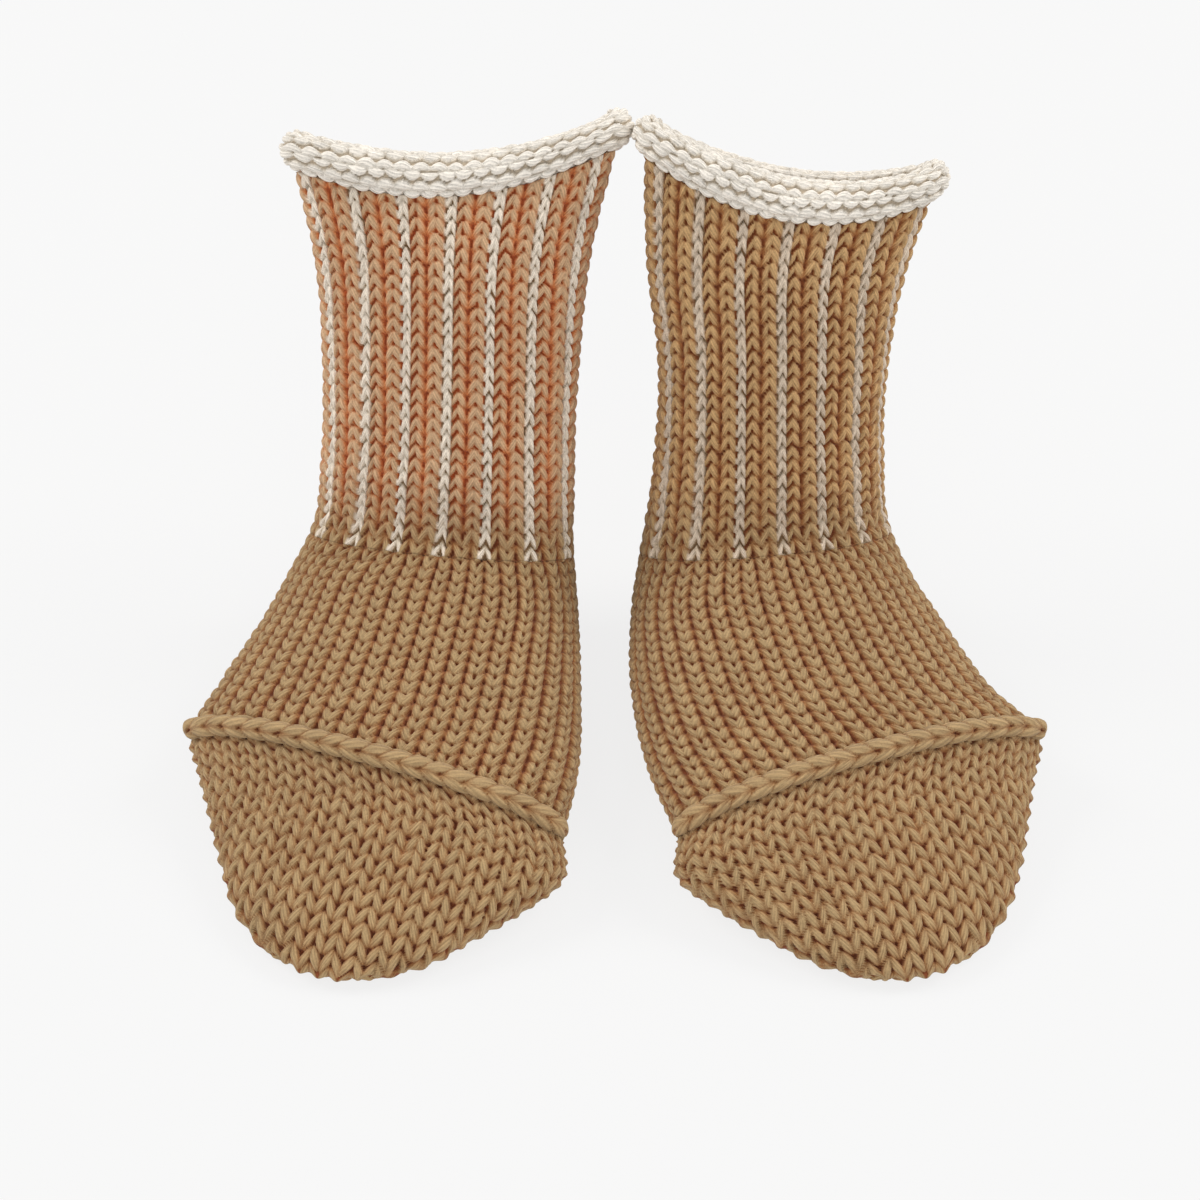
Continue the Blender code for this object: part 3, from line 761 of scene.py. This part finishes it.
def make_cuff(sock, finish):
    """The rolled cuff: a round roll carried along the rim, in rows of purl beans. The lowest row shown
    stands out as a scalloped edge over the top of the leg."""
    columns = WALES * CUFF_FINE
    wale = np.arange(columns) / CUFF_FINE
    angle = sock.angles(np.zeros((1, columns)), wale / WALES)[0]
    rim = sock.surface(0.0, angle)
    out = sock.outward(np.full(columns, NEAR_RIM), angle)
    up = unit(rim - sock.surface(ROLL_RISE, angle))
    front = frontness(angle)[:, None]
    middle = rim + ROLL_OUT * out + (ROLL_RISE - FRONT_LOWER * front) * up
    turns = np.arange(CUFF_SIDES) * 2 * np.pi / CUFF_SIDES
    row = CUFF_ROWS * np.mod(turns - np.radians(CUFF_START), 2 * np.pi) / (2 * np.pi) + 0 * wale[:, None]
    across = wale[:, None] + 0 * row
    ring = np.linalg.norm(middle - np.roll(middle, 1, axis=0), axis=-1).sum()
    strands = purl_knit(across, row, ring / WALES, 2 * np.pi * ROLL_RADIUS / CUFF_ROWS, CUFF_STYLE)
    raised = strands.raised(CUFF_BASE, CUFF_RELIEF, CUFF_CREASE_DEPTH)
    raised = raised + bump_at(row, *CUFF_EDGE) + bump_at(row, *CUFF_TUCK)
    raised = raised + CUFF_WAVER * drift(across, row, WAVER_CELL, CUFF_KIND)
    tall = 1 + FRONT_TALLER / ROLL_RADIUS * front
    circle = np.cos(turns)[None, :, None] * out[:, None] + (np.sin(turns) * tall)[..., None] * up[:, None]
    points = middle[:, None] + (ROLL_RADIUS + raised)[..., None] * circle
    depth = strands.depth()
    tone = np.stack([depth, 1 + 0 * depth, 0 * depth], -1)
    name = sock.name + "_cuff"
    return add_piece(name + "_knit", points, ring_faces(columns, CUFF_SIDES, True), strands.place(), tone,
                     np.stack([across, row], -1), finish, name)


def make_toe_seam(sock, finish):
    """The chain across the toes: a round cord whose strands form a sideways column of V's, and which
    narrows at both ends."""
    rings = CHAIN_LINKS * CHAIN_FINE + 1
    reach = np.radians(CHAIN_REACH)
    turns = np.linspace(-reach, reach, MEASURED_POINTS)
    steps = np.linalg.norm(np.diff(sock.surface(sock.at["seam"], turns), axis=0), axis=1)
    girth = np.concatenate([[0.0], np.cumsum(steps)])
    angle = np.interp(np.linspace(0, girth[-1], rings), girth, turns)
    out = sock.outward(np.full(rings, sock.at["seam"]), angle)
    middle = sock.surface(sock.at["seam"], angle) + CHAIN_OUT * out
    across = np.cross(out, unit(np.gradient(middle, axis=0)))
    link = np.linspace(0, CHAIN_LINKS, rings)[:, None]
    sides = np.arange(CHAIN_SIDES) * 2 * np.pi / CHAIN_SIDES
    centred = np.mod(sides + np.pi, 2 * np.pi) - np.pi
    wale = (centred - np.radians(CHAIN_TURN)) * CHAIN_RADIUS / CHAIN_WALE + 0 * link
    row = (link if sock.outwards > 0 else CHAIN_LINKS - link) + 0 * wale
    strands = plain_knit(wale, row, CHAIN_WALE + 0 * row, girth[-1] / CHAIN_LINKS, CHAIN_STYLE)
    from_end = np.minimum(link, CHAIN_LINKS - link)
    narrow = np.clip(CHAIN_END + from_end, 0, 1)
    raised = strands.raised(CHAIN_BASE, CHAIN_RELIEF, CREASE_DEPTH)
    circle = np.cos(sides)[None, :, None] * out[:, None] + np.sin(sides)[None, :, None] * across[:, None]
    grid = middle[:, None] + ((CHAIN_RADIUS + raised) * narrow)[..., None] * circle
    i = np.arange(CHAIN_SIDES)
    j = (i + 1) % CHAIN_SIDES
    last = (rings - 1) * CHAIN_SIDES
    start_point = rings * CHAIN_SIDES + 0 * i
    start = np.stack([j, i, start_point], -1)
    end = np.stack([last + i, last + j, start_point + 1], -1)
    faces = np.concatenate([ring_faces(rings, CHAIN_SIDES, False), start, end])
    points = np.concatenate([grid.reshape(-1, 3), [middle[0], middle[-1]]])
    depth = strands.depth()

    def with_ends(values):
        return np.concatenate([values.reshape(-1, values.shape[-1]), values[0, :1], values[-1, :1]])

    tone = with_ends(np.stack([depth, 0 * depth, 0 * depth], -1))
    name = sock.name + "_toe_seam"
    return add_piece(name + "_knit", points, faces, with_ends(strands.place()), tone,
                     with_ends(np.stack([wale, row], -1)), finish, name)


# ------------------------------------------------------------------------------------------------- finishes

class Value:
    """A socket of a finish, so that shader maths is written as plain expressions."""

    def __init__(self, finish, socket):
        self.finish = finish
        self.socket = socket

    def maths(self, operation, first, second):
        return self.finish.node("Math", {"operation": operation}, {0: first, 1: second})

    def __add__(self, other):
        return self.maths("ADD", self, other)

    def __radd__(self, other):
        return self.maths("ADD", other, self)

    def __sub__(self, other):
        return self.maths("SUBTRACT", self, other)

    def __rsub__(self, other):
        return self.maths("SUBTRACT", other, self)

    def __mul__(self, other):
        return self.maths("MULTIPLY", self, other)

    def __rmul__(self, other):
        return self.maths("MULTIPLY", other, self)

    def wave(self):
        """Its sine, from -1 to 1."""
        return self.maths("SINE", self, 0.0)


class Finish:
    """A material of one Principled shader."""

    def __init__(self, name):
        self.material = bpy.data.materials.new(name)
        self.material.use_nodes = True
        self.tree = self.material.node_tree
        self.shader = self.tree.nodes["Principled BSDF"]

    def node(self, kind, settings, sockets, output=0):
        """A node of that kind: its settings or ramp stops first, then the values or links of its sockets."""
        made = self.tree.nodes.new("ShaderNode" + kind)
        for key, value in settings.items():
            if key == "stops":
                ramp = made.color_ramp
                while len(ramp.elements) < len(value):
                    ramp.elements.new(1.0)
                for element, (position, colour) in zip(ramp.elements, value):
                    element.position = position
                    element.color = colour
            else:
                setattr(made, key, value)
        for key, value in sockets.items():
            if isinstance(value, Value):
                self.tree.links.new(value.socket, made.inputs[key])
            else:
                made.inputs[key].default_value = value
        return Value(self, made.outputs[output])

    def parts(self, label):
        """The three numbers of a piece's attribute of that name."""
        vector = self.node("Attribute", {"attribute_name": label}, {}, 1)
        split = self.node("SeparateXYZ", {}, {0: vector}).socket.node
        return [Value(self, output) for output in split.outputs]

    def ramp(self, value, levels, colours):
        """The colour at a value, between colours that belong to those levels."""
        return self.node("ValToRGB", {"stops": tuple(zip(levels, colours))}, {"Fac": value})

    def mixed(self, share, first, second):
        """Two colours mixed by a share."""
        return self.node("Mix", {"data_type": "RGBA"}, {0: share, 6: first, 7: second}, 2)

    def shade(self, **inputs):
        """Values or links for the shader's sockets, by name."""
        for key, value in inputs.items():
            socket = self.shader.inputs[key.replace("_", " ")]
            if isinstance(value, Value):
                self.tree.links.new(value.socket, socket)
            else:
                socket.default_value = value


def grey(value):
    """A grey of that tone."""
    return (value, value, value, 1.0)


def make_knit(name, warm_yarn_and_painted_shade, cream_yarn_and_painted_shade):
    """Yarn with painted shade: dark and deep red in the holes, warm in the creases and pale on the ridges of
    the strands, with fine lines of twisted plies along each strand and soft fuzz, partly uneven tone of the
    yarn and partly painted highlights and shade between the plies. Each yarn is the colour of a hole, a
    crease and a ridge, the first two painted shade. A piece's own attributes say how deep a point lies and
    which of the yarns it has."""
    finish = Finish(name)
    along, across, luck = finish.parts("strand")
    depth, pale, warm = finish.parts("tone")
    place = finish.node("CombineXYZ", {}, {0: across * PLY_GRAIN["across"] + along * PLY_GRAIN["slant"],
                                           1: along * PLY_GRAIN["along"], 2: luck * PLY_GRAIN["luck"]})
    body = finish.node("TexCoord", {}, {}, 3)
    plies = finish.node("TexNoise", {}, {"Vector": place, **PLY_NOISE})
    fuzz = finish.node("TexNoise", {}, {"Vector": body, **FUZZ_NOISE})
    cloud = finish.node("TexNoise", {}, {"Vector": body, **CLOUD_NOISE})
    turns = across * TWIST["across"] + along * TWIST["along"] + luck * TWIST["luck"] + plies * TWIST["plies"]
    twist = turns.wave()
    ply, fluff, haze = plies - 0.5, fuzz - 0.5, cloud - 0.5
    level = depth + ply * IN_DEPTH["plies"] + fluff * IN_DEPTH["fuzz"] + twist * IN_DEPTH["twist"]
    # Painted shade: the colour darkens and reddens from the ridges into creases and holes, with the depth.
    tan = finish.ramp(level, TAN_LEVELS, TAN_YARN_AND_PAINTED_SHADE)
    warmer = finish.ramp(level, TAN_LEVELS, warm_yarn_and_painted_shade)
    cream = finish.ramp(level, CREAM_LEVELS, cream_yarn_and_painted_shade)
    colour = finish.mixed(pale, finish.mixed(warm, tan, warmer), cream)
    # Plies, twist and fuzz scale the colour: partly uneven tone of the yarn, partly painted highlights and
    # shade between the plies.
    ply_tone_and_painted_highlights = ply * IN_TONE_AND_PAINTED_LIGHT["plies"] + twist * IN_TONE_AND_PAINTED_LIGHT["twist"]
    light = 1.0 + ply_tone_and_painted_highlights + fluff * IN_TONE_AND_PAINTED_LIGHT["fuzz"] + haze * IN_TONE_AND_PAINTED_LIGHT["cloud"] + luck * IN_TONE_AND_PAINTED_LIGHT["luck"]
    lit = finish.node("VectorMath", {"operation": "SCALE"}, {0: colour, "Scale": light})
    height = plies * IN_BUMP["plies"] + fuzz * IN_BUMP["fuzz"] + twist * IN_BUMP["twist"]
    bump = finish.node("Bump", {}, {"Strength": BUMP_STRENGTH, "Distance": BUMP_DEPTH, "Height": height})
    finish.shade(Base_Color=lit, Roughness=YARN_ROUGHNESS, Metallic=0.0, Specular_IOR_Level=YARN_SHINE,
                 Normal=bump, Sheen_Weight=YARN_SHEEN, Sheen_Roughness=SHEEN_ROUGHNESS)
    return finish.material


# -------------------------------------------------------------------------------------------------- stage

def add_light(name, place, aim, size, watts, colour):
    """A square soft light that faces its aim, in metres."""
    data = bpy.data.lights.new(name, "AREA")
    data.energy = watts
    data.size = size
    data.color = colour
    light = bpy.data.objects.new(name, data)
    light.location = place
    light.rotation_euler = facing(np.array(aim) - np.array(place))
    bpy.context.scene.collection.objects.link(light)


def facing(direction):
    """Angles that turn a camera's or light's -Z to a direction, its top up."""
    x, y, z = unit(direction)
    return (float(np.arccos(-z)), 0.0, float(np.arctan2(-x, y)))


def make_stage():
    """A pale paper floor, light all round and three soft lights."""
    floor = bpy.data.meshes.new("floor")
    r = FLOOR_HALF
    floor.from_pydata([(-r, -r, 0), (r, -r, 0), (r, r, 0), (-r, r, 0)], [], [(0, 1, 2, 3)])
    paper = Finish("pale_paper")
    paper.shade(Base_Color=grey(FLOOR_TONE), Roughness=1.0, Specular_IOR_Level=0.0, Emission_Color=grey(1.0),
                Emission_Strength=FLOOR_GLOW)
    floor.materials.append(paper.material)
    ground = bpy.data.objects.new("floor", floor)
    bpy.context.scene.collection.objects.link(ground)
    world = bpy.data.worlds.new("studio")
    bpy.context.scene.world = world
    world.use_nodes = True
    world.node_tree.nodes["Background"].inputs["Color"].default_value = WORLD_COLOUR
    world.node_tree.nodes["Background"].inputs["Strength"].default_value = WORLD_STRENGTH
    for name, (place, size, watts, colour) in LIGHTS.items():
        add_light(name, place, LIGHT_AIM, size, watts, colour)
    bpy.context.scene.view_settings.view_transform = "Standard"


def make_camera():
    """The camera, at its distance from the aim, looking down by the elevation."""
    tilt = np.radians(ELEVATION)
    data = bpy.data.cameras.new("camera")
    data.sensor_width = SENSOR
    data.lens = FOCAL_PIXELS / IMAGE_SIDE * SENSOR
    data.clip_start = NEAR_CLIP
    camera = bpy.data.objects.new("camera", data)
    camera.location = (AIM + DISTANCE * np.array((0.0, -np.cos(tilt), np.sin(tilt)))) * MM
    camera.rotation_euler = (np.pi / 2 - tilt, 0.0, 0.0)
    bpy.context.scene.collection.objects.link(camera)
    bpy.context.scene.camera = camera


def main():
    """Both socks piece by piece, then the floor, the lights and the camera."""
    striped = {"left": make_knit("left_striped_knit", LEFT_LEG_YARN_AND_PAINTED_SHADE, LEFT_STRIPE_YARN_AND_PAINTED_SHADE),
               "right": make_knit("right_striped_knit", RIGHT_LEG_YARN_AND_PAINTED_SHADE, RIGHT_STRIPE_YARN_AND_PAINTED_SHADE)}
    plain = make_knit("tan_knit", TAN_YARN_AND_PAINTED_SHADE, LEFT_STRIPE_YARN_AND_PAINTED_SHADE)
    cream = make_knit("cream_knit", TAN_YARN_AND_PAINTED_SHADE, CUFF_YARN_AND_PAINTED_SHADE)
    for sock in (Sock("left", LEFT_STATIONS, -1), Sock("right", RIGHT_STATIONS, 1)):
        cuff = make_cuff(sock, cream)
        leg = make_leg(sock, striped[sock.name])
        foot = make_foot(sock, plain)
        toe = make_toe(sock, plain)
        seam = make_toe_seam(sock, plain)
    make_stage()
    make_camera()


main()
